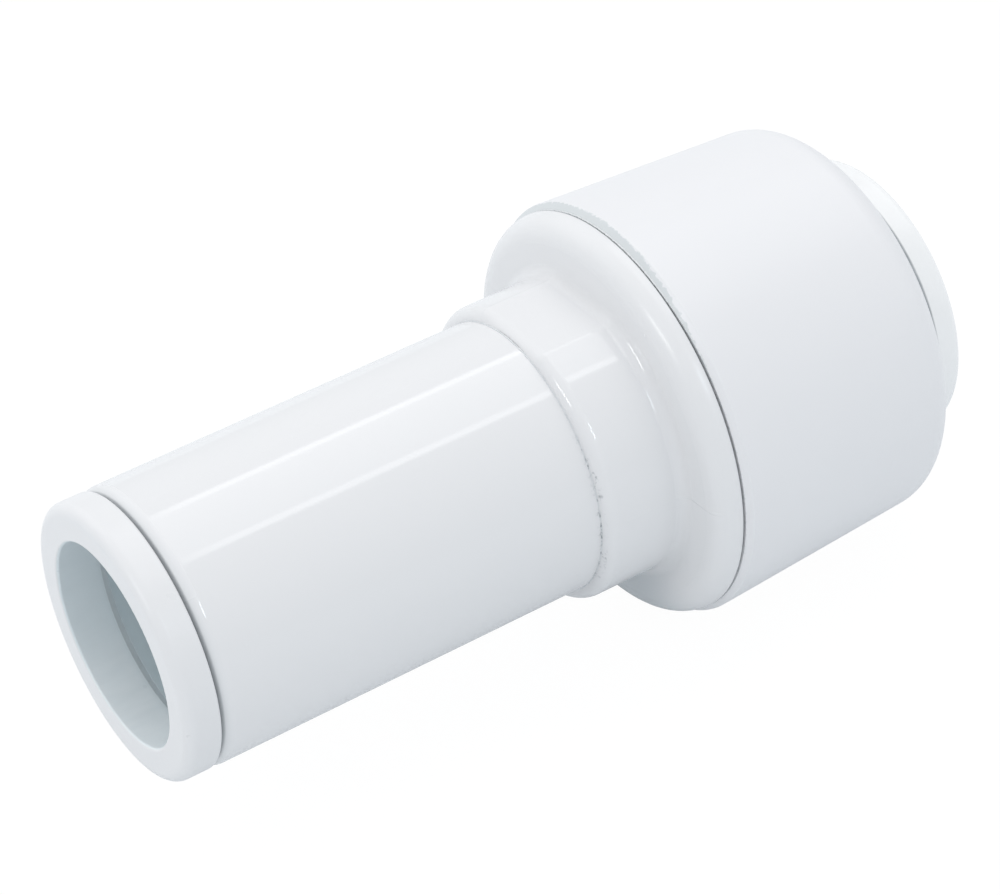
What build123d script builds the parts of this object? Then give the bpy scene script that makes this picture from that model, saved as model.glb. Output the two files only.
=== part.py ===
"""Push to connect reducing fitting, 22 mm stem to 15 mm socket.

Units are millimetres. The fitting lies along X: the stem points along -X, the socket's mouth faces +X
and +Z is up. The origin is on the axis, in the shoulder plane where the stem meets the collar. The two
wrench flats face +Z and -Z.
"""

import math
import os

from build123d import *

# ---- Shared small sizes ----
EDGE_BREAK = 0.2
EDGE_ROUND = 0.3
RUN_OVER = 1.0
TOLERANCE = 0.01

# ---- Stem: the plain end, which goes into a 22 mm socket ----
STEM_R = 11.0
STEM_BORE_R = 9.0
STEM_TIP_X = -32.33
STEM_EDGE_ROUND = 0.9
SPIGOT_R = 10.0
SPIGOT_LENGTH = 4.5
SPIGOT_SEAT_X = 4.6

# ---- Flanged liner in the stem's free end ----
NOSE_X = -35.2
NOSE_BACK_X = -32.45
NOSE_R = 10.95
NOSE_BORE_R = 8.07
NOSE_LIP_X = -31.65
NOSE_LIP_TAPER = 0.5
NOSE_ROUND = 0.85
NOSE_MOUTH_ROUND = 0.25
LINER_BORE_R = 8.35
LINER_END_X = -14.0

# ---- Collar and flange of the body ----
COLLAR_R = 12.0
COLLAR_LENGTH = 6.93
COLLAR_ROUND = 0.95
FLAT_HALF_WIDTH = 11.42
FLAT_CORNER_ROUND = 1.2
FLANGE_R = 16.47
FLANGE_BACK_X = 8.96
FLANGE_ROUND = 1.9
FLANGE_BACK_ROUND = 0.12

# ---- Socket barrel of the body ----
STOP_BORE_R = 6.3
STOP_X = 6.6
GUIDE_R = 7.68
SEAL_SEAT_X = 13.4
SEAL_BORE_R = 10.2
COUNTERBORE_X = 16.6
COUNTERBORE_R = 11.6
BARREL_R = 13.55
BARREL_END_X = 25.0

# ---- Screw thread between barrel and cap: right-handed, single start ----
THREAD_PITCH = 3.0
THREAD_START_X = 11.2
MALE_TURNS = 3.5
MALE_CREST_R = 14.35
MALE_BASE_WIDTH = 1.8
MALE_CREST_WIDTH = 1.1
FEMALE_TURNS = 3.0
FEMALE_CREST_R = 13.85
FEMALE_BASE_WIDTH = 1.5
FEMALE_CREST_WIDTH = 0.9
THREAD_ROOTING = 0.25

# ---- Screw cap ----
CAP_X = 9.14
CAP_BEVEL = 0.43
CAP_BEVEL_ROUND = 0.15
CAP_MOUTH_R = 16.47
CAP_R = 16.92
CAP_END_R = 15.9
CAP_END_X = 29.6
CAP_END_ROUND = 2.36
CAP_BORE_R = 14.65
CAP_WALL_X = 27.4
CAP_WALL_ROUND = 0.6
SLEEVE_X = 18.5
SLEEVE_R = 11.5
CONE_WIDE_R = 10.18
CONE_START_X = 21.2
CONE_END_X = 24.8
CAP_HOLE_R = 8.95
CAP_HOLE_ROUND = 0.4

# ---- Spacer ring and O-ring ----
SPACER_NOSE_X = 16.4
SPACER_STEP_X = 17.0
SPACER_BACK_X = 18.3
SPACER_BORE_R = 7.9
SPACER_NOSE_R = 10.1
O_RING_SECTION_R = 1.39
O_RING_BORE_R = 7.42

# ---- Collet ----
COLLET_TIP_X = 20.2
COLLET_BORE_R = 7.85
COLLET_R = 8.8
HEAD_R = 10.0
RELEASE_BACK_X = 31.2
RELEASE_FACE_X = 33.6
RELEASE_R = 11.5
RELEASE_ROUND = 0.58
MOUTH_R = 8.55
MOUTH_X = 32.7
FINGER_COUNT = 10
FINGER_TURNS = [number * 360 / FINGER_COUNT for number in range(FINGER_COUNT)]
SLOT_WIDTH = 1.3
SLOT_END_X = 28.0

# ---- Grab teeth ----
TOOTH_THICKNESS = 0.35
TOOTH_WIDTH = 2.4
TOOTH_TIP = (21.2, 7.55)
TOOTH_BEND = (22.9, 9.15)
TOOTH_HEEL = (21.3, 9.45)
TOOTH_BEND_ROUND = 0.3
POCKET_CLEARANCE = 0.03


def half_section(*corners):
    """Half-section of a turned piece. Each corner is (x, radius, rounding)."""
    points = [(x, radius) for x, radius, rounding in corners]
    roundings = [rounding for x, radius, rounding in corners]
    with BuildSketch(Plane.XZ) as section:
        with BuildLine():
            FilletPolyline(points, radius=roundings, close=True)
        make_face()
    return section.sketch


def edges_at(part, x, reach):
    """Edges of a part that lie in the plane at x, within reach of the axis."""
    centre = Vector(x, 0, 0)
    edges = part.edges().filter_by_position(Axis.X, x - TOLERANCE, x + TOLERANCE)
    return edges.filter_by(lambda edge: (edge.position_at(0.5) - centre).length < reach)


def thread_rib(start_x, turns, root_r, crest_r, base_width, crest_width):
    """Helical rib about X, from a wall at root_r out or in to crest_r, rooted in the wall."""
    length = turns * THREAD_PITCH
    rise = crest_r - root_r
    rooting = -math.copysign(THREAD_ROOTING, rise)
    with BuildPart() as rib:
        with BuildLine():
            path = Helix(THREAD_PITCH, length, root_r, center=(start_x, 0, 0), direction=(1, 0, 0))
        start = path @ 0
        radial = Vector(0, start.Y, start.Z).normalized()
        with BuildSketch(Plane(origin=start, x_dir=radial, z_dir=path % 0)):
            with BuildLine():
                Polyline(
                    (rooting, -base_width / 2),
                    (rise, -crest_width / 2),
                    (rise, crest_width / 2),
                    (rooting, base_width / 2),
                    close=True,
                )
            make_face()
        sweep(path=path, is_frenet=True)
    return rib.part


def outward(turn):
    """Direction square to X, turned about it from +Z by so many degrees."""
    return Vector(0, 0, 1).rotate(Axis.X, turn)


def tooth_strip(turn, clearance):
    """Bent grab-tooth strip in the finger at this turn, thicker and wider all round by a clearance."""
    tangent = outward(turn - 90)
    with BuildPart() as strip:
        with BuildSketch(Plane(origin=(0, 0, 0), x_dir=(1, 0, 0), z_dir=-tangent)):
            with BuildLine():
                FilletPolyline(TOOTH_TIP, TOOTH_BEND, TOOTH_HEEL, radius=TOOTH_BEND_ROUND)
            trace(line_width=TOOTH_THICKNESS + 2 * clearance)
        extrude(amount=TOOTH_WIDTH / 2 + clearance, both=True)
    return strip.part


def save(piece, name):
    """Label a finished piece and write its STEP file."""
    piece.part.label = name
    export_step(piece.part, f"parts/{name}.step")


os.makedirs("parts", exist_ok=True)

# ---- Body: collar, flange and threaded socket barrel, with the pipe stop and the seal bore ----
with BuildPart() as body:
    with BuildSketch(Plane.YZ):
        Circle(COLLAR_R)
        Rectangle(2 * COLLAR_R, 2 * FLAT_HALF_WIDTH, mode=Mode.INTERSECT)
    extrude(amount=COLLAR_LENGTH + RUN_OVER)
    fillet(body.edges().filter_by(Axis.X), FLAT_CORNER_ROUND)
    revolve(
        half_section(
            (COLLAR_LENGTH, 0, 0),
            (COLLAR_LENGTH, FLANGE_R, FLANGE_ROUND),
            (FLANGE_BACK_X, FLANGE_R, FLANGE_BACK_ROUND),
            (FLANGE_BACK_X, BARREL_R, 0),
            (BARREL_END_X, BARREL_R, EDGE_ROUND),
            (BARREL_END_X, 0, 0),
        ),
        axis=Axis.X,
    )
    fillet(edges_at(body, COLLAR_LENGTH, COLLAR_R + TOLERANCE), COLLAR_ROUND)
    fillet(edges_at(body, 0, COLLAR_R + TOLERANCE), COLLAR_ROUND)
    revolve(
        half_section(
            (-RUN_OVER, 0, 0),
            (-RUN_OVER, SPIGOT_R, 0),
            (SPIGOT_SEAT_X, SPIGOT_R, 0),
            (SPIGOT_SEAT_X, STOP_BORE_R, EDGE_ROUND),
            (STOP_X, STOP_BORE_R, EDGE_ROUND),
            (STOP_X, GUIDE_R, 0),
            (SEAL_SEAT_X, GUIDE_R, EDGE_ROUND),
            (SEAL_SEAT_X, SEAL_BORE_R, 0),
            (COUNTERBORE_X, SEAL_BORE_R, EDGE_ROUND),
            (COUNTERBORE_X, COUNTERBORE_R, 0),
            (BARREL_END_X + RUN_OVER, COUNTERBORE_R, 0),
            (BARREL_END_X + RUN_OVER, 0, 0),
        ),
        axis=Axis.X,
        mode=Mode.SUBTRACT,
    )
    add(
        thread_rib(
            THREAD_START_X,
            MALE_TURNS,
            BARREL_R,
            MALE_CREST_R,
            MALE_BASE_WIDTH,
            MALE_CREST_WIDTH,
        )
    )
save(body, "body")

# ---- Stem: plain tube with a turned-down spigot that is bonded into the collar ----
with BuildPart() as stem_tube:
    revolve(
        half_section(
            (STEM_TIP_X, STEM_BORE_R, EDGE_BREAK),
            (STEM_TIP_X, STEM_R, STEM_EDGE_ROUND),
            (0, STEM_R, 0),
            (0, SPIGOT_R, 0),
            (SPIGOT_LENGTH, SPIGOT_R, EDGE_ROUND),
            (SPIGOT_LENGTH, STEM_BORE_R, EDGE_BREAK),
        ),
        axis=Axis.X,
    )
save(stem_tube, "stem_tube")

# ---- Flanged liner: its flange is the stem's end ring ----
with BuildPart() as stem_insert:
    revolve(
        half_section(
            (NOSE_X, NOSE_BORE_R, NOSE_MOUTH_ROUND),
            (NOSE_X, NOSE_R, NOSE_ROUND),
            (NOSE_BACK_X, NOSE_R, EDGE_BREAK),
            (NOSE_BACK_X, STEM_BORE_R, 0),
            (LINER_END_X, STEM_BORE_R, EDGE_BREAK),
            (LINER_END_X, LINER_BORE_R, EDGE_BREAK),
            (NOSE_LIP_X + NOSE_LIP_TAPER, LINER_BORE_R, 0),
            (NOSE_LIP_X, NOSE_BORE_R, 0),
        ),
        axis=Axis.X,
    )
save(stem_insert, "stem_insert")

# ---- O-ring in the seal bore ----
with BuildPart() as socket_o_ring:
    o_ring_x = SEAL_SEAT_X + O_RING_SECTION_R
    with BuildSketch(Plane.XZ):
        with Locations((o_ring_x, O_RING_BORE_R + O_RING_SECTION_R)):
            Circle(O_RING_SECTION_R)
    revolve(axis=Axis.X)
save(socket_o_ring, "socket_o_ring")

# ---- Spacer ring: its nose squeezes the O-ring when the cap is screwed down ----
with BuildPart() as spacer_ring:
    revolve(
        half_section(
            (SPACER_NOSE_X, SPACER_BORE_R, EDGE_BREAK),
            (SPACER_NOSE_X, SPACER_NOSE_R, EDGE_BREAK),
            (SPACER_STEP_X, SPACER_NOSE_R, 0),
            (SPACER_STEP_X, SLEEVE_R, EDGE_BREAK),
            (SPACER_BACK_X, SLEEVE_R, EDGE_BREAK),
            (SPACER_BACK_X, SPACER_BORE_R, EDGE_ROUND),
        ),
        axis=Axis.X,
    )
save(spacer_ring, "spacer_ring")

# ---- Screw cap: outer shell with the female thread, and the inner sleeve with the collet's cone ----
with BuildPart() as screw_cap:
    revolve(
        half_section(
            (CAP_X, CAP_BORE_R, EDGE_ROUND),
            (CAP_X, CAP_MOUTH_R, 0),
            (CAP_X + CAP_BEVEL, CAP_R, CAP_BEVEL_ROUND),
            (CAP_END_X, CAP_END_R, CAP_END_ROUND),
            (CAP_END_X, CAP_HOLE_R, CAP_HOLE_ROUND),
            (CONE_END_X, CAP_HOLE_R, 0),
            (CONE_START_X, CONE_WIDE_R, 0),
            (SLEEVE_X, CONE_WIDE_R, EDGE_BREAK),
            (SLEEVE_X, SLEEVE_R, EDGE_BREAK),
            (CAP_WALL_X, SLEEVE_R, CAP_WALL_ROUND),
            (CAP_WALL_X, CAP_BORE_R, CAP_WALL_ROUND),
        ),
        axis=Axis.X,
    )
    add(
        thread_rib(
            THREAD_START_X + THREAD_PITCH / 2,
            FEMALE_TURNS,
            CAP_BORE_R,
            FEMALE_CREST_R,
            FEMALE_BASE_WIDTH,
            FEMALE_CREST_WIDTH,
        )
    )
save(screw_cap, "screw_cap")

# ---- Collet: release flange, tube and slotted fingers whose heads hold the teeth ----
with BuildPart() as collet:
    revolve(
        half_section(
            (COLLET_TIP_X, COLLET_BORE_R, EDGE_ROUND),
            (COLLET_TIP_X, HEAD_R, EDGE_ROUND),
            (CONE_START_X, HEAD_R, 0),
            (CONE_END_X, COLLET_R, 0),
            (RELEASE_BACK_X, COLLET_R, EDGE_ROUND),
            (RELEASE_BACK_X, RELEASE_R, EDGE_ROUND),
            (RELEASE_FACE_X, RELEASE_R, RELEASE_ROUND),
            (RELEASE_FACE_X, MOUTH_R, EDGE_ROUND),
            (MOUTH_X, COLLET_BORE_R, EDGE_ROUND),
        ),
        axis=Axis.X,
    )
    for turn in FINGER_TURNS:
        slot_plane = Plane(origin=(0, 0, 0), x_dir=(1, 0, 0), z_dir=outward(turn + 180 / FINGER_COUNT))
        with BuildSketch(slot_plane):
            with Locations((COLLET_TIP_X, 0)):
                Rectangle(2 * (SLOT_END_X - COLLET_TIP_X), SLOT_WIDTH)
            with Locations((SLOT_END_X, 0)):
                Circle(SLOT_WIDTH / 2)
        extrude(amount=HEAD_R + RUN_OVER, mode=Mode.SUBTRACT)
        add(tooth_strip(turn, POCKET_CLEARANCE), mode=Mode.SUBTRACT)
save(collet, "collet")

# ---- Grab teeth, one in each finger ----
for number, turn in enumerate(FINGER_TURNS, start=1):
    with BuildPart() as tooth:
        add(tooth_strip(turn, 0))
    save(tooth, f"collet_tooth_{number}")
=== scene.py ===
"""Looks of the push to connect reducing fitting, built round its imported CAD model.

Metres, in the model's own frame: the axis is X, the stem points along -X, the socket's mouth faces +X
and +Z is up. A turn is an angle about the axis, from +Z towards the front, -Y.
"""

import math

import bpy
from mathutils import Matrix, Vector, noise


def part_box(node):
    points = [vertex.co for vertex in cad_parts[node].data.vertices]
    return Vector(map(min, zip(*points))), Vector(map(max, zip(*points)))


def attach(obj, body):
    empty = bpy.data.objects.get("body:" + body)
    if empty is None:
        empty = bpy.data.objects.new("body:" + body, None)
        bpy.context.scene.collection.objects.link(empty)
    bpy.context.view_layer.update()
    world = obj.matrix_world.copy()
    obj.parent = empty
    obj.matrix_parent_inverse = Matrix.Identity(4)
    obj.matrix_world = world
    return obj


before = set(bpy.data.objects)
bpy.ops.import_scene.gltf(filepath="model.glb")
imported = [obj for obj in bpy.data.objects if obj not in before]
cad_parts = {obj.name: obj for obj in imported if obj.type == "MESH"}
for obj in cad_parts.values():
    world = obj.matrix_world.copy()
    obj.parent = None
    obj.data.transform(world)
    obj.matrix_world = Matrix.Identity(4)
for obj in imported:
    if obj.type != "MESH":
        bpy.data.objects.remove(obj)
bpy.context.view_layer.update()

MM = 0.001
FULL_TURN = 2 * math.pi

# ---- Sizes: the model's own places, most of them read from the frame ----
SHOULDER_X = 0.0
CAP_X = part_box("screw_cap")[0].x
RELEASE_RING_THICKNESS = 2.4 * MM
RELEASE_BACK_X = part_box("collet")[1].x - RELEASE_RING_THICKNESS
MOUTH_R = 16.47 * MM
FLANGE_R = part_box("body")[1].z
STEM_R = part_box("stem_tube")[1].z
TIP_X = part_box("stem_tube")[0].x
NOSE_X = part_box("stem_insert")[0].x
FLOOR_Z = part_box("screw_cap")[0].z

# ---- Camera ----
CAMERA_AZIMUTH = 329.34
CAMERA_ELEVATION = 37.75
CAMERA_ROLL = 4.93
CAMERA_DISTANCE = 268.86 * MM
CAMERA_TARGET = Vector((-1.05, 0.81, 0.88)) * MM
CAMERA_LENS = 128.22
CAMERA_SENSOR = 36
CAMERA_NEAR = 0.01
CAMERA_FAR = 10


def towards(azimuth, elevation):
    """Unit vector from the object towards a viewer at this azimuth and elevation."""
    a = math.radians(azimuth)
    e = math.radians(elevation)
    return Vector((math.sin(a) * math.cos(e), -math.cos(a) * math.cos(e), math.sin(e)))


def add_camera():
    camera = bpy.data.objects.new("camera", bpy.data.cameras.new("camera"))
    bpy.context.scene.collection.objects.link(camera)
    camera.data.lens = CAMERA_LENS
    camera.data.sensor_width = CAMERA_SENSOR
    camera.data.clip_start = CAMERA_NEAR
    camera.data.clip_end = CAMERA_FAR
    back = towards(CAMERA_AZIMUTH, CAMERA_ELEVATION)
    level = (-back).to_track_quat("-Z", "Y").to_matrix()
    lean = Matrix.Rotation(math.radians(-CAMERA_ROLL), 3, "Z")
    place = Matrix.Translation(CAMERA_TARGET + CAMERA_DISTANCE * back)
    camera.matrix_world = place @ (level @ lean).to_4x4()
    bpy.context.scene.camera = camera


# ---- Short calls for building a material ----
# A Mix node's sockets share their names between its data types, so the colour ones go by place.
MIX_FIRST_COLOUR = 6
MIX_SECOND_COLOUR = 7
MIX_COLOUR_OUT = 2


class Shader:
    """One material's node tree, with a Principled shader and short calls for its nodes."""

    def __init__(self, name, ior=1.5):
        self.material = bpy.data.materials.new(name)
        self.material.use_nodes = True
        self.tree = self.material.node_tree
        self.surface = self.tree.nodes["Principled BSDF"]
        self.surface.inputs["IOR"].default_value = ior
        self.place = self.tree.nodes.new("ShaderNodeTexCoord").outputs["Object"]
        split = self.tree.nodes.new("ShaderNodeSeparateXYZ")
        self.link(self.place, split.inputs[0])
        self.x, self.y, self.z = split.outputs

    def link(self, source, socket):
        self.tree.links.new(source, socket)

    def feed(self, value, socket):
        """Join an output to a socket, or set the socket to a number or colour."""
        if isinstance(value, bpy.types.NodeSocket):
            self.link(value, socket)
        else:
            socket.default_value = value

    def math(self, operation, first, second=0.0):
        node = self.tree.nodes.new("ShaderNodeMath")
        node.operation = operation
        self.feed(first, node.inputs[0])
        self.feed(second, node.inputs[1])
        return node.outputs[0]

    def step(self, value, start, end):
        """0 up to start, 1 from end on, with a smooth climb between. Start may be the larger."""
        node = self.tree.nodes.new("ShaderNodeMapRange")
        node.interpolation_type = "SMOOTHSTEP"
        self.feed(value, node.inputs["Value"])
        node.inputs["From Min"].default_value = start
        node.inputs["From Max"].default_value = end
        return node.outputs["Result"]

    def window(self, value, start, end, soft):
        """1 between start and end, falling smoothly to 0 within soft on each side."""
        rise = self.step(value, start - soft, start)
        fall = self.step(value, end + soft, end)
        return self.math("MULTIPLY", rise, fall)

    def radius(self):
        """Distance from the axis."""
        y_squared = self.math("MULTIPLY", self.y, self.y)
        z_squared = self.math("MULTIPLY", self.z, self.z)
        return self.math("SQRT", self.math("ADD", y_squared, z_squared))

    def turn(self):
        """Turn about the axis, in degrees from -180 to 180."""
        angle = self.math("ARCTAN2", self.math("MULTIPLY", self.y, -1.0), self.z)
        return self.math("DEGREES", angle)

    def noise(self, size, detail=2.0, stretch=(1, 1, 1)):
        """Noise from 0 to 1 with lumps about size metres across, longer where stretch is over 1."""
        mapping = self.tree.nodes.new("ShaderNodeMapping")
        mapping.inputs["Scale"].default_value = [1 / (size * s) for s in stretch]
        self.link(self.place, mapping.inputs["Vector"])
        node = self.tree.nodes.new("ShaderNodeTexNoise")
        node.inputs["Scale"].default_value = 1
        node.inputs["Detail"].default_value = detail
        self.link(mapping.outputs[0], node.inputs["Vector"])
        return node.outputs["Fac"]

    def mix(self, factor, first, second):
        """The first colour where factor is 0 and the second where it is 1."""
        node = self.tree.nodes.new("ShaderNodeMix")
        node.data_type = "RGBA"
        self.feed(factor, node.inputs["Factor"])
        self.feed(first, node.inputs[MIX_FIRST_COLOUR])
        self.feed(second, node.inputs[MIX_SECOND_COLOUR])
        return node.outputs[MIX_COLOUR_OUT]

    def scale(self, value, low, high):
        """Stretch a 0 to 1 value to run from low to high."""
        node = self.tree.nodes.new("ShaderNodeMapRange")
        self.feed(value, node.inputs["Value"])
        node.inputs["To Min"].default_value = low
        node.inputs["To Max"].default_value = high
        return node.outputs["Result"]

    def paint(self, colour):
        self.feed(colour, self.surface.inputs["Base Color"])

    def gloss(self, roughness):
        self.feed(roughness, self.surface.inputs["Roughness"])

    def bump(self, height, distance):
        node = self.tree.nodes.new("ShaderNodeBump")
        node.inputs["Distance"].default_value = distance
        self.link(height, node.inputs["Height"])
        self.link(node.outputs[0], self.surface.inputs["Normal"])


# ---- Colours ----
WHITE = (0.800, 0.803, 0.812, 1)
WHITE_LOW = (0.788, 0.792, 0.803, 1)
CAP_WHITE = (0.818, 0.820, 0.834, 1)
CAP_WHITE_LOW = (0.806, 0.809, 0.825, 1)
COLLET_WHITE = (0.925, 0.93, 0.93, 1)
COLLET_WHITE_LOW = (0.91, 0.915, 0.915, 1)
# Dark grey: real grime at the seams, and also painted shade in gaps and along the release ring's back
# edge.
GRIME_AND_SHADE_DARK = (0.22, 0.25, 0.27, 1)
GREY = (0.66, 0.69, 0.70, 1)
BEAD_GREY = (0.62, 0.66, 0.68, 1)
# Painted shade for the flange's underside.
UNDERSIDE_PAINTED_SHADE = (0.55, 0.60, 0.63, 1)
# Painted light and shade inside the bore: a lit floor, a bluish shaded side, a darker depth and a lit lip.
BORE_FLOOR_PAINTED_LIGHT = (0.93, 0.97, 0.985, 1)
BORE_SIDE_PAINTED_SHADE = (0.80, 0.86, 0.885, 1)
BORE_STREAK = (0.72, 0.79, 0.82, 1)
BORE_DEEP_PAINTED_SHADE = (0.64, 0.72, 0.75, 1)
BORE_LIP_PAINTED_LIGHT = (0.93, 0.97, 0.985, 1)
RUBBER_DARK = (0.012, 0.012, 0.013, 1)
RUBBER_LIGHT = (0.035, 0.035, 0.037, 1)
STEEL_DARK = (0.52, 0.52, 0.53, 1)
STEEL_LIGHT = (0.66, 0.66, 0.66, 1)

# ---- Materials ----
# In the names below, X, R and TURNS are places along, out from and round the axis: where an effect
# starts and where it is full, or, with a third number, its two ends and how far they fade. A SPAN is
# a first and a last turn, a NOISE is the size of its lumps and its detail, and a GLOSS is the lowest
# and the highest roughness.
POLISHED_IOR = 1.55


def mottled(shader, light, dark, size):
    """Faint, slow change of colour, as moulded white plastic has."""
    return shader.mix(shader.noise(size), light, dark)


GRIME_CORE = 0.2
GRIME_SOFT_TURN = 14
GRIME_PATCH_SIZE = 0.9 * MM
GRIME_PATCHES = (0.42, 0.62)
GRIME_BLOTCH_NOISE = (0.3 * MM, 1.5)
GRIME_BLOTCHES = (0.46, 0.85)


def seam_grime(shader, seam_x, reach, first_turn, last_turn):
    """Broken, soft grey blotches beside a seam round the axis, between two turns."""
    offset = shader.math("ABSOLUTE", shader.math("SUBTRACT", shader.x, seam_x))
    beside = shader.step(offset, reach, GRIME_CORE * reach)
    along = shader.window(shader.turn(), first_turn, last_turn, GRIME_SOFT_TURN)
    patches = shader.step(shader.noise(GRIME_PATCH_SIZE), *GRIME_PATCHES)
    blotches = shader.step(shader.noise(*GRIME_BLOTCH_NOISE), *GRIME_BLOTCHES)
    grime = shader.math("MULTIPLY", shader.math("MULTIPLY", beside, along), blotches)
    return shader.math("MULTIPLY", grime, patches)


BODY_MOTTLE = 14 * MM
BODY_GRIME_REACH = 0.25 * MM
BODY_GRIME_SPAN = (66, 115)
# Painted shade at the flange's rim, in the gap beside the cap.
RIM_GAP_SHADE_R = (FLANGE_R - 0.35 * MM, FLANGE_R - 0.1 * MM)
RIM_GAP_SHADE_X = (CAP_X - 0.42 * MM, CAP_X - 0.14 * MM)
RIM_GAP_SHADE_NOISE = (0.5 * MM, 3)
RIM_GAP_SHADE_RANGE = (0.35, 1.0)
# Painted shade low down on the flange.
UNDERSIDE_SHADE_TURNS = (128, 158)
UNDERSIDE_SHADE_R = (12.2 * MM, 13.0 * MM)
UNDERSIDE_SHADE_SHARE = 0.6
POLISH_R = (13.9 * MM, 13.2 * MM)
PATCHY_NOISE = (3 * MM, 3)
FLANGE_GLOSS = (0.2, 0.3)
COLLAR_GLOSS = (0.07, 0.12)
BODY_RIPPLE_NOISE = (2.2 * MM, 1.5)
BODY_RIPPLE_SHARE = 0.25
CREASE_TURNS = (87.6, 88.2, 0.35)
CREASE_R = (12.4 * MM, 15.6 * MM, 0.6 * MM)
BODY_BUMP = 0.02 * MM


def body_plastic():
    """Polished collar and satin flange, with grime at the stem joint and a fine crease in front.

    The flange has painted shade at its rim, beside the cap, and low down.
    """
    s = Shader("body_plastic", ior=POLISHED_IOR)
    base = mottled(s, WHITE, WHITE_LOW, BODY_MOTTLE)
    base = s.mix(seam_grime(s, SHOULDER_X, BODY_GRIME_REACH, *BODY_GRIME_SPAN), base, GRIME_AND_SHADE_DARK)
    # Painted shade: the rim is greyed unevenly where it meets the gap beside the cap.
    at_rim = s.step(s.radius(), *RIM_GAP_SHADE_R)
    at_gap = s.step(s.x, *RIM_GAP_SHADE_X)
    ragged = s.scale(s.noise(*RIM_GAP_SHADE_NOISE), *RIM_GAP_SHADE_RANGE)
    rim = s.math("MULTIPLY", s.math("MULTIPLY", at_rim, at_gap), ragged)
    base = s.mix(rim, base, GREY)
    # Painted shade: the flange is greyer low down.
    below = s.step(s.math("ABSOLUTE", s.turn()), *UNDERSIDE_SHADE_TURNS)
    on_flange = s.step(s.radius(), *UNDERSIDE_SHADE_R)
    painted_underside_shade = s.math("MULTIPLY", s.math("MULTIPLY", below, on_flange), UNDERSIDE_SHADE_SHARE)
    s.paint(s.mix(painted_underside_shade, base, UNDERSIDE_PAINTED_SHADE))
    polish = s.step(s.radius(), *POLISH_R)
    patchy = s.noise(*PATCHY_NOISE)
    collar = s.math("MULTIPLY", s.scale(patchy, *COLLAR_GLOSS), polish)
    flange = s.math("MULTIPLY", s.scale(patchy, *FLANGE_GLOSS), s.math("SUBTRACT", 1, polish))
    s.gloss(s.math("ADD", collar, flange))
    crease_line = s.window(s.turn(), *CREASE_TURNS)
    crease_span = s.window(s.radius(), *CREASE_R)
    crease = s.math("MULTIPLY", crease_line, crease_span)
    ripple = s.math("MULTIPLY", s.noise(*BODY_RIPPLE_NOISE), BODY_RIPPLE_SHARE)
    s.bump(s.math("ADD", ripple, crease), BODY_BUMP)
    return s.material


STEM_MOTTLE = 18 * MM
STEM_GRIME_REACH = 0.45 * MM
STEM_GRIME_SPAN = (60, 115)
# Painted shade: greyer towards the tip, where it rounds off.
TIP_SHADE_X = (TIP_X + 1.0 * MM, TIP_X)
TIP_SHADE_SHARE = 0.4
# Painted shade in the gap between the stem tip and the nose.
NOSE_GAP_SHADE_X = (TIP_X + 0.30 * MM, TIP_X + 0.12 * MM)
NOSE_GAP_SHADE_SHARE = 0.5
STEM_GLOSS_NOISE = (4 * MM, 3)
STEM_GLOSS = (0.06, 0.11)
DULL_X = (TIP_X + 1.2 * MM, TIP_X + 0.8 * MM)
DULL_TURNS = (47, 42)
DULL_ROUGHNESS = 0.35
STEM_RIPPLE_NOISE = (6 * MM, 1)
STEM_RIPPLE_STRETCH = (6, 1, 1)
STEM_BUMP = 0.01 * MM


def stem_plastic():
    """Polished tube, faintly rippled along its length, with specks at the collar.

    The tip is greyed with painted shade where it rounds off, and is duller over the top and back.
    """
    s = Shader("stem_plastic", ior=POLISHED_IOR)
    base = mottled(s, WHITE, WHITE_LOW, STEM_MOTTLE)
    # Painted shade, greying the tip where it rounds off.
    painted_tip_shade = s.step(s.x, *TIP_SHADE_X)
    base = s.mix(s.math("MULTIPLY", painted_tip_shade, TIP_SHADE_SHARE), base, GREY)
    specks = seam_grime(s, SHOULDER_X, STEM_GRIME_REACH, *STEM_GRIME_SPAN)
    # Painted shade in the gap at the tip, next to the nose.
    painted_nose_gap_shade = s.math("MULTIPLY", s.step(s.x, *NOSE_GAP_SHADE_X), NOSE_GAP_SHADE_SHARE)
    s.paint(s.mix(s.math("MAXIMUM", specks, painted_nose_gap_shade), base, GRIME_AND_SHADE_DARK))
    shine = s.scale(s.noise(*STEM_GLOSS_NOISE), *STEM_GLOSS)
    dull = s.math("MULTIPLY", s.step(s.x, *DULL_X), s.step(s.turn(), *DULL_TURNS))
    s.gloss(s.math("ADD", shine, s.math("MULTIPLY", dull, DULL_ROUGHNESS)))
    s.bump(s.noise(*STEM_RIPPLE_NOISE, stretch=STEM_RIPPLE_STRETCH), STEM_BUMP)
    return s.material


BEAD_MOTTLE = 0.6 * MM
BEAD_GRIME_TURNS = (62, 115, 14)
BEAD_SPECK_NOISE = (0.45 * MM, 2)
BEAD_SPECKS = (0.46, 0.75)
BEAD_GLOSS_NOISE = (0.3 * MM, 3)
BEAD_GLOSS = (0.28, 0.42)
BEAD_BUMP_SIZE = 0.1 * MM
BEAD_BUMP = 0.01 * MM


def bead_plastic():
    """Greyish white, with grime along the front."""
    s = Shader("bead_plastic")
    base = mottled(s, WHITE_LOW, BEAD_GREY, BEAD_MOTTLE)
    low = s.window(s.turn(), *BEAD_GRIME_TURNS)
    specks = s.math("MULTIPLY", s.step(s.noise(*BEAD_SPECK_NOISE), *BEAD_SPECKS), low)
    s.paint(s.mix(specks, base, GRIME_AND_SHADE_DARK))
    s.gloss(s.scale(s.noise(*BEAD_GLOSS_NOISE), *BEAD_GLOSS))
    s.bump(s.noise(BEAD_BUMP_SIZE), BEAD_BUMP)
    return s.material


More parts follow.
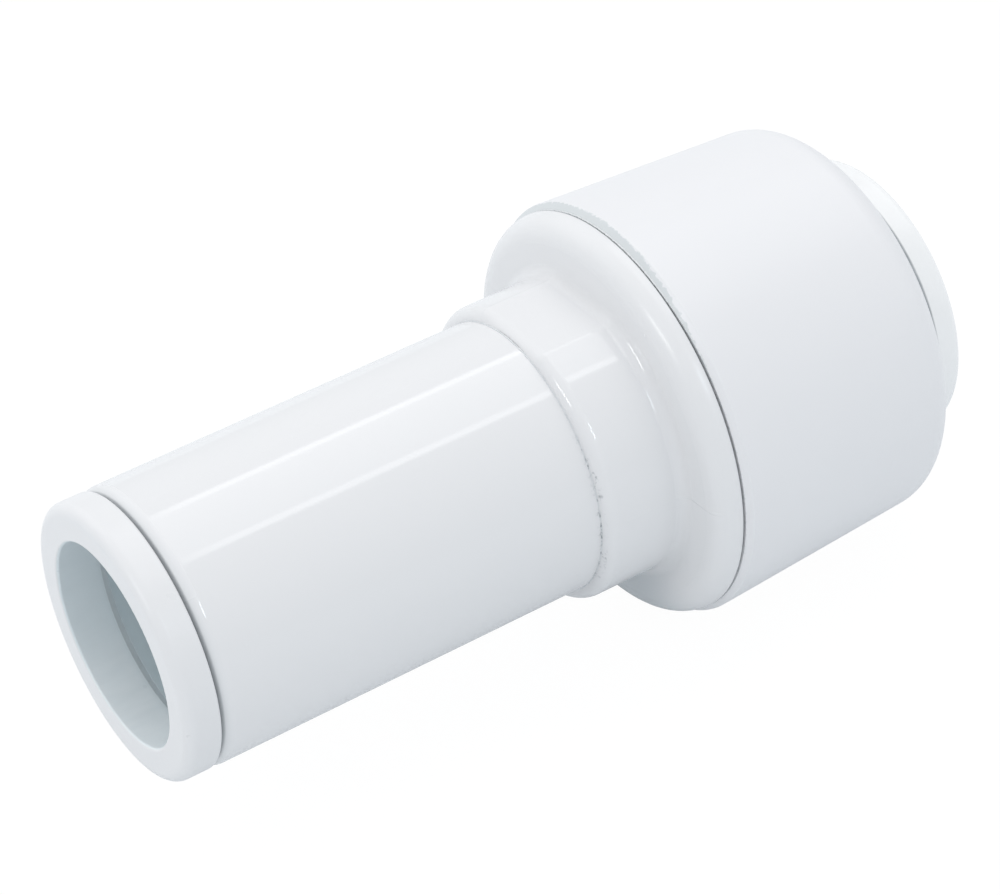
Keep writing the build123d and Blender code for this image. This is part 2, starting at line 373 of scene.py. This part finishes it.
FLASH_MOTTLE = 0.5 * MM
FLASH_GLOSS_NOISE = (0.4 * MM, 3)
FLASH_GLOSS = (0.4, 0.6)
FLASH_BUMP_SIZE = 0.12 * MM
FLASH_BUMP = 0.01 * MM


def flash_plastic():
    """Matt plastic, mottled between white and grey."""
    s = Shader("flash_plastic")
    s.paint(mottled(s, CAP_WHITE, GREY, FLASH_MOTTLE))
    s.gloss(s.scale(s.noise(*FLASH_GLOSS_NOISE), *FLASH_GLOSS))
    s.bump(s.noise(FLASH_BUMP_SIZE), FLASH_BUMP)
    return s.material


CAP_MOTTLE = 9 * MM
BEVEL_NOISE = (0.35 * MM, 4)
BEVEL_NOISE_MIDDLE = 0.5
BEVEL_WOBBLE = 0.5 * MM
BEVEL_TURNS = (58, 2)
BEVEL_REACH = (-0.05 * MM, 0.4 * MM)
BEVEL_EDGE = (0.07 * MM, -0.04 * MM)
CAP_GLOSS_NOISE = (2.5 * MM, 3)
CAP_GLOSS = (0.3, 0.4)
CAP_BUMP_SIZE = 0.5 * MM
CAP_BUMP = 0.006 * MM


def cap_plastic():
    """Satin white, with a ragged grey edge round the mouth, wider over the top and back."""
    s = Shader("cap_plastic")
    base = mottled(s, CAP_WHITE, CAP_WHITE_LOW, CAP_MOTTLE)
    uneven = s.math("SUBTRACT", s.noise(*BEVEL_NOISE), BEVEL_NOISE_MIDDLE)
    wobble = s.math("MULTIPLY", uneven, BEVEL_WOBBLE)
    reach = s.scale(s.step(s.turn(), *BEVEL_TURNS), *BEVEL_REACH)
    from_mouth = s.math("SUBTRACT", s.math("ADD", s.x, wobble), CAP_X)
    bevel = s.step(s.math("SUBTRACT", from_mouth, reach), *BEVEL_EDGE)
    s.paint(s.mix(bevel, base, GREY))
    s.gloss(s.scale(s.noise(*CAP_GLOSS_NOISE), *CAP_GLOSS))
    s.bump(s.noise(CAP_BUMP_SIZE), CAP_BUMP)
    return s.material


LINER_MOTTLE = 7 * MM
MOUTH_EDGE_R = (8.2 * MM, 8.1 * MM)
LINER_BORE_R = (8.75 * MM, 8.5 * MM)
LINER_BORE_X = (NOSE_X + 0.5 * MM, NOSE_X + 0.9 * MM)
# Painted light on the bore's floor and lip, painted shade deeper in.
BORE_LIT_FLOOR_TURNS = (110, 165)
STREAK_NOISE = (0.9 * MM, 3)
STREAK_STRETCH = (4, 1, 1)
STREAK_SHARE = (0, 0.5)
BORE_SHADE_X = (NOSE_X + 3.0 * MM, NOSE_X + 4.3 * MM)
BORE_LIT_LIP_X = (NOSE_X + 3.6 * MM, NOSE_X + 4.0 * MM, 0.12 * MM)
LINER_GLOSS_NOISE = (2 * MM, 3)
LINER_GLOSS = (0.24, 0.36)
LINER_BUMP_SIZE = 0.6 * MM
LINER_BUMP = 0.008 * MM


def liner_plastic():
    """Satin white. Inside, the bore is streaked and has painted light and shade: paler on its floor, then
    a pale lip, then darker deeper in.
    """
    s = Shader("liner_plastic")
    base = mottled(s, WHITE, WHITE_LOW, LINER_MOTTLE)
    # The bore's surfaces, which take the painted light and shade below.
    at_edge = s.step(s.radius(), *MOUTH_EDGE_R)
    past_edge = s.step(s.x, *LINER_BORE_X)
    in_liner = s.math("MULTIPLY", s.step(s.radius(), *LINER_BORE_R), past_edge)
    inside = s.math("MAXIMUM", at_edge, in_liner)
    lit_bore_floor = s.step(s.math("ABSOLUTE", s.turn()), *BORE_LIT_FLOOR_TURNS)
    mouth = s.mix(lit_bore_floor, BORE_SIDE_PAINTED_SHADE, BORE_FLOOR_PAINTED_LIGHT)
    streaks = s.noise(*STREAK_NOISE, stretch=STREAK_STRETCH)
    mouth = s.mix(s.scale(streaks, *STREAK_SHARE), mouth, BORE_STREAK)
    bore = s.mix(s.step(s.x, *BORE_SHADE_X), mouth, BORE_DEEP_PAINTED_SHADE)
    bore = s.mix(s.window(s.x, *BORE_LIT_LIP_X), bore, BORE_LIP_PAINTED_LIGHT)
    s.paint(s.mix(inside, base, bore))
    s.gloss(s.scale(s.noise(*LINER_GLOSS_NOISE), *LINER_GLOSS))
    s.bump(s.noise(LINER_BUMP_SIZE), LINER_BUMP)
    return s.material


COLLET_MOTTLE = 6 * MM
# Painted shade along the release ring's back edge, beside the cap.
RING_SHADE_X = (RELEASE_BACK_X + 0.38 * MM, RELEASE_BACK_X + 0.2 * MM)
RING_SHADE_R = (10.6 * MM, 11.1 * MM)
RING_SHADE_NOISE = (1.5 * MM, 3)
RING_SHADE_SHARE = (0.6, 0.95)
COLLET_GLOSS_NOISE = (2 * MM, 3)
COLLET_GLOSS = (0.16, 0.26)
COLLET_BUMP_SIZE = 0.8 * MM
COLLET_BUMP = 0.006 * MM


def collet_plastic():
    """Bright white, with an uneven line of painted shade along the release ring's back edge."""
    s = Shader("collet_plastic")
    base = mottled(s, COLLET_WHITE, COLLET_WHITE_LOW, COLLET_MOTTLE)
    # Painted shade: an uneven dark line along the release ring's back edge.
    back_edge = s.step(s.x, *RING_SHADE_X)
    ring = s.step(s.radius(), *RING_SHADE_R)
    uneven = s.scale(s.noise(*RING_SHADE_NOISE), *RING_SHADE_SHARE)
    line = s.math("MULTIPLY", s.math("MULTIPLY", back_edge, ring), uneven)
    s.paint(s.mix(line, base, GRIME_AND_SHADE_DARK))
    s.gloss(s.scale(s.noise(*COLLET_GLOSS_NOISE), *COLLET_GLOSS))
    s.bump(s.noise(COLLET_BUMP_SIZE), COLLET_BUMP)
    return s.material


RUBBER_COLOUR_NOISE = (0.7 * MM, 4)
RUBBER_GLOSS_NOISE = (0.4 * MM, 4)
RUBBER_GLOSS = (0.42, 0.62)
RUBBER_BUMP_NOISE = (0.12 * MM, 3)
RUBBER_BUMP = 0.01 * MM


def seal_rubber():
    s = Shader("seal_rubber")
    s.paint(s.mix(s.noise(*RUBBER_COLOUR_NOISE), RUBBER_DARK, RUBBER_LIGHT))
    s.gloss(s.scale(s.noise(*RUBBER_GLOSS_NOISE), *RUBBER_GLOSS))
    s.bump(s.noise(*RUBBER_BUMP_NOISE), RUBBER_BUMP)
    return s.material


STEEL_IOR = 2.5
STEEL_GRAIN_NOISE = (0.05 * MM, 3)
STEEL_GRAIN_STRETCH = (1, 14, 14)
STEEL_GLOSS = (0.2, 0.34)
STEEL_BUMP = 0.002 * MM


def spring_steel():
    s = Shader("spring_steel", ior=STEEL_IOR)
    s.surface.inputs["Metallic"].default_value = 1.0
    grain = s.noise(*STEEL_GRAIN_NOISE, stretch=STEEL_GRAIN_STRETCH)
    s.paint(s.mix(grain, STEEL_DARK, STEEL_LIGHT))
    s.gloss(s.scale(grain, *STEEL_GLOSS))
    s.bump(grain, STEEL_BUMP)
    return s.material


def dress(node, material):
    """Give a CAD node one material in place of its own."""
    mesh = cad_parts[node].data
    mesh.materials.clear()
    mesh.materials.append(material)


# ---- Stage ----
FLOOR_SIZE = 8.0
FLOOR_ALBEDO = (0.70, 0.725, 0.745, 1)
FLOOR_GLOW = 0.09
FLOOR_SEEN = 1.03
FLOOR_SHADE_SEEN = 0.06
WORLD_TOP = (0.86, 0.86, 0.87, 1)
WORLD_SIDE = (0.69, 0.722, 0.746, 1)
WORLD_SEEN = (1.0, 1.0, 1.0, 1)


def add_floor():
    """A pale floor that lights the object softly, and to the camera is white with a very faint shadow."""
    bpy.ops.mesh.primitive_plane_add(size=FLOOR_SIZE, location=(0, 0, FLOOR_Z))
    floor = bpy.context.object
    floor.name = "floor"
    material = bpy.data.materials.new("floor")
    material.use_nodes = True
    tree = material.node_tree
    tree.nodes.clear()
    output = tree.nodes.new("ShaderNodeOutputMaterial")
    diffuse = tree.nodes.new("ShaderNodeBsdfDiffuse")
    diffuse.inputs["Color"].default_value = FLOOR_ALBEDO
    glow = tree.nodes.new("ShaderNodeEmission")
    glow.inputs["Strength"].default_value = FLOOR_GLOW
    lit = tree.nodes.new("ShaderNodeAddShader")
    tree.links.new(diffuse.outputs[0], lit.inputs[0])
    tree.links.new(glow.outputs[0], lit.inputs[1])
    bright = tree.nodes.new("ShaderNodeEmission")
    bright.inputs["Strength"].default_value = FLOOR_SEEN
    faint = tree.nodes.new("ShaderNodeMixShader")
    faint.inputs[0].default_value = FLOOR_SHADE_SEEN
    tree.links.new(bright.outputs[0], faint.inputs[1])
    tree.links.new(diffuse.outputs[0], faint.inputs[2])
    seen = tree.nodes.new("ShaderNodeMixShader")
    tree.links.new(tree.nodes.new("ShaderNodeLightPath").outputs["Is Camera Ray"], seen.inputs[0])
    tree.links.new(lit.outputs[0], seen.inputs[1])
    tree.links.new(faint.outputs[0], seen.inputs[2])
    tree.links.new(seen.outputs[0], output.inputs["Surface"])
    floor.data.materials.append(material)


def add_world():
    """Soft light from all round, brighter above, and plain white where the camera looks past the floor."""
    world = bpy.data.worlds.new("studio")
    bpy.context.scene.world = world
    world.use_nodes = True
    tree = world.node_tree
    split = tree.nodes.new("ShaderNodeSeparateXYZ")
    tree.links.new(tree.nodes.new("ShaderNodeTexCoord").outputs["Generated"], split.inputs[0])
    sky = tree.nodes.new("ShaderNodeMix")
    sky.data_type = "RGBA"
    tree.links.new(split.outputs["Z"], sky.inputs["Factor"])
    sky.inputs[MIX_FIRST_COLOUR].default_value = WORLD_SIDE
    sky.inputs[MIX_SECOND_COLOUR].default_value = WORLD_TOP
    seen = tree.nodes.new("ShaderNodeMix")
    seen.data_type = "RGBA"
    tree.links.new(tree.nodes.new("ShaderNodeLightPath").outputs["Is Camera Ray"], seen.inputs["Factor"])
    tree.links.new(sky.outputs[MIX_COLOUR_OUT], seen.inputs[MIX_FIRST_COLOUR])
    seen.inputs[MIX_SECOND_COLOUR].default_value = WORLD_SEEN
    tree.links.new(seen.outputs[MIX_COLOUR_OUT], tree.nodes["Background"].inputs["Color"])


# ---- Lights ----
# A radiance is how bright the light's face looks, whatever its size. A panel's tilt is in degrees
# about X, from overhead towards the back.
PANEL_DISTANCE = 0.5
SOFTBOX_TILT = 9
SOFTBOX_X = 0.22
SOFTBOX_SIZE = (0.45, 0.46)
SOFTBOX_RADIANCE = 0.82
NEAR_EDGE_TILT = -13
FAR_EDGE_TILT = 31
EDGE_X = 0.205
EDGE_SIZE = (0.14, 0.04)
EDGE_RADIANCE = 1.4
LAMP_DISTANCE = 0.6
LEFT_LAMP_DIRECTION = (-0.857, -0.076, 0.508)
LEFT_LAMP_SIZE = (0.19, 0.06)
LEFT_LAMP_RADIANCE = 9.6
FRONT_LAMP_DIRECTION = (0.084, -0.783, 0.615)
FRONT_LAMP_SIZE = (0.06, 0.14)
FRONT_LAMP_RADIANCE = 7.4
FRONT_LAMP_TINT = (0.86, 0.98, 1.08)
BACK_LAMP_DIRECTION = (-0.30, 0.82, 0.48)
BACK_LAMP_SIZE = (0.45, 0.45)
BACK_LAMP_RADIANCE = 1.0


def add_light(name, size, radiance):
    """Rectangular light that the camera doesn't see."""
    width, height = size
    light = bpy.data.objects.new(name, bpy.data.lights.new(name, "AREA"))
    bpy.context.scene.collection.objects.link(light)
    light.data.shape = "RECTANGLE"
    light.data.size = width
    light.data.size_y = height
    light.data.energy = radiance * math.pi * width * height
    light.visible_camera = False
    return light


def add_panel(name, tilt, centre_x, size, radiance):
    """Softbox over the object, with its length along the axis."""
    light = add_light(name, size, radiance)
    angle = math.radians(tilt)
    light.location = (centre_x, PANEL_DISTANCE * math.sin(angle), PANEL_DISTANCE * math.cos(angle))
    light.rotation_euler = (-angle, 0, 0)


def add_lamp(name, direction, size, radiance):
    """Soft lamp that faces the object from this direction."""
    light = add_light(name, size, radiance)
    back = Vector(direction).normalized()
    light.location = LAMP_DISTANCE * back
    light.rotation_euler = (-back).to_track_quat("-Z", "Y").to_euler()
    return light


def add_lights():
    add_panel("softbox", SOFTBOX_TILT, SOFTBOX_X, SOFTBOX_SIZE, SOFTBOX_RADIANCE)
    add_panel("softbox_near_edge", NEAR_EDGE_TILT, EDGE_X, EDGE_SIZE, EDGE_RADIANCE)
    add_panel("softbox_far_edge", FAR_EDGE_TILT, EDGE_X, EDGE_SIZE, EDGE_RADIANCE)
    add_lamp("left_lamp", LEFT_LAMP_DIRECTION, LEFT_LAMP_SIZE, LEFT_LAMP_RADIANCE)
    front = add_lamp("front_lamp", FRONT_LAMP_DIRECTION, FRONT_LAMP_SIZE, FRONT_LAMP_RADIANCE)
    front.data.color = FRONT_LAMP_TINT
    back = add_lamp("back_lamp", BACK_LAMP_DIRECTION, BACK_LAMP_SIZE, BACK_LAMP_RADIANCE)
    back.visible_glossy = False


# ---- Short calls for the pieces that run round the axis, with turns in radians ----
def outward(turn):
    """Unit vector straight out from the axis."""
    return Vector((0, -math.sin(turn), math.cos(turn)))


def ring_noise(turn, lumps, row):
    """Smooth value from about -1 to 1 that repeats after a full turn. Each row is another pattern."""
    return noise.noise(Vector((lumps * math.cos(turn), lumps * math.sin(turn), row)))


def band_faces(sections, sides):
    """Faces between each pair of sections, which are closed rings of this many points."""
    faces = []
    for here, there in sections:
        for side in range(sides):
            after = (side + 1) % sides
            near = (here * sides + side, here * sides + after)
            far = (there * sides + side, there * sides + after)
            faces.append((near[0], far[0], far[1], near[1]))
    return faces


def add_piece(name, vertices, faces, material):
    mesh = bpy.data.meshes.new(name)
    mesh.from_pydata(vertices, [], faces)
    mesh.materials.append(material)
    piece = bpy.data.objects.new(name, mesh)
    bpy.context.scene.collection.objects.link(piece)
    return piece


# ---- Bond bead: what squeezed out of the joint between stem and collar ----
BEAD_STEPS = 1440
BEAD_SIDES = 8
BEAD_R = 0.07 * MM
BEAD_R_CHANGE = 0.05 * MM
BEAD_SHIFT = 0.03 * MM
BEAD_ROUGH = 0.3
BEAD_LUMPS = 26
BEAD_GRAIN = 150
BEAD_LUMPS_SHARE = 0.6
BEAD_GRAIN_SHARE = 0.4
BEAD_LUMPS_ROW = 0
BEAD_GRAIN_ROW = 3
BEAD_SHIFT_ROW = 6
BEAD_ROUGH_ROW = 9


def add_bond_bead():
    """Thin uneven ring in the corner between the stem and the collar's front face."""
    vertices = []
    for step in range(BEAD_STEPS):
        turn = FULL_TURN * step / BEAD_STEPS
        lumps = BEAD_LUMPS_SHARE * ring_noise(turn, BEAD_LUMPS, BEAD_LUMPS_ROW)
        grain = BEAD_GRAIN_SHARE * ring_noise(turn, BEAD_GRAIN, BEAD_GRAIN_ROW)
        thickness = BEAD_R + BEAD_R_CHANGE * (lumps + grain)
        centre_x = SHOULDER_X + BEAD_SHIFT * ring_noise(turn, BEAD_LUMPS, BEAD_SHIFT_ROW)
        centre = Vector((centre_x, 0, 0)) + STEM_R * outward(turn)
        for side in range(BEAD_SIDES):
            angle = FULL_TURN * side / BEAD_SIDES
            rough = 1 + BEAD_ROUGH * ring_noise(turn, BEAD_GRAIN, BEAD_ROUGH_ROW + side)
            spoke = math.cos(angle) * Vector((1, 0, 0)) + math.sin(angle) * outward(turn)
            vertices.append(centre + thickness * rough * spoke)
    sections = [(step, (step + 1) % BEAD_STEPS) for step in range(BEAD_STEPS)]
    faces = band_faces(sections, BEAD_SIDES)
    bead = add_piece("bond_bead", vertices, faces, bead_plastic())
    bead.data.polygons.foreach_set("use_smooth", [True] * len(faces))
    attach(bead, "fitting")


# ---- Cap flash: ragged moulding fringe on the cap's mouth, in the gap behind the flange ----
FLASH_STEPS = 900
FLASH_SIDES = 4
FLASH_FIRST = math.radians(-115)
FLASH_LAST = math.radians(45)
FLASH_FADE = math.radians(25)
FLASH_DEPTH = 0.22 * MM
FLASH_REACH = 0.13 * MM
FLASH_LEAST_SHARE = 0.1
FLASH_USUAL_SHARE = 0.75
FLASH_SHARE_CHANGE = 0.3
FLASH_ROOT = 0.05 * MM
FLASH_INSET = 0.02 * MM
FLASH_R_CHANGE = 0.03 * MM
FLASH_LUMPS = 60
FLASH_GRAIN = 220
FLASH_WAVES = 120
FLASH_LUMPS_ROW = 20
FLASH_GRAIN_ROW = 23
FLASH_WAVES_ROW = 26


def add_cap_flash():
    """Thin ragged strip that stands out from the cap's mouth round its top and back."""
    root_x = CAP_X + FLASH_ROOT
    vertices = []
    for step in range(FLASH_STEPS + 1):
        turn = FLASH_FIRST + (FLASH_LAST - FLASH_FIRST) * step / FLASH_STEPS
        fade = min(1, (turn - FLASH_FIRST) / FLASH_FADE, (FLASH_LAST - turn) / FLASH_FADE)
        lumps = FLASH_SHARE_CHANGE * ring_noise(turn, FLASH_LUMPS, FLASH_LUMPS_ROW)
        grain = FLASH_SHARE_CHANGE * ring_noise(turn, FLASH_GRAIN, FLASH_GRAIN_ROW)
        ragged = FLASH_USUAL_SHARE + lumps + grain
        front_x = CAP_X - FLASH_REACH * fade * min(1, max(FLASH_LEAST_SHARE, ragged))
        wave = FLASH_R_CHANGE * ring_noise(turn, FLASH_WAVES, FLASH_WAVES_ROW)
        outer_r = MOUTH_R - FLASH_INSET + wave
        inner_r = outer_r - FLASH_DEPTH
        corners = ((root_x, outer_r), (front_x, outer_r), (front_x, inner_r), (root_x, inner_r))
        vertices += [Vector((x, 0, 0)) + radius * outward(turn) for x, radius in corners]
    sections = [(step, step + 1) for step in range(FLASH_STEPS)]
    first_end = tuple(range(FLASH_SIDES))
    last_end = tuple(FLASH_SIDES * FLASH_STEPS + side for side in reversed(range(FLASH_SIDES)))
    faces = [first_end] + band_faces(sections, FLASH_SIDES) + [last_end]
    flash = add_piece("cap_flash", vertices, faces, flash_plastic())
    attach(flash, "cap")


# ---- Build ----
add_camera()
add_floor()
add_world()
add_bond_bead()
add_cap_flash()
add_lights()

dress("body", body_plastic())
dress("stem_tube", stem_plastic())
dress("screw_cap", cap_plastic())
liner = liner_plastic()
dress("stem_insert", liner)
dress("spacer_ring", liner)
dress("collet", collet_plastic())
dress("socket_o_ring", seal_rubber())
steel = spring_steel()
for node_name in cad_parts:
    if node_name.startswith("collet_tooth_"):
        dress(node_name, steel)

bpy.context.scene.view_settings.view_transform = "Standard"
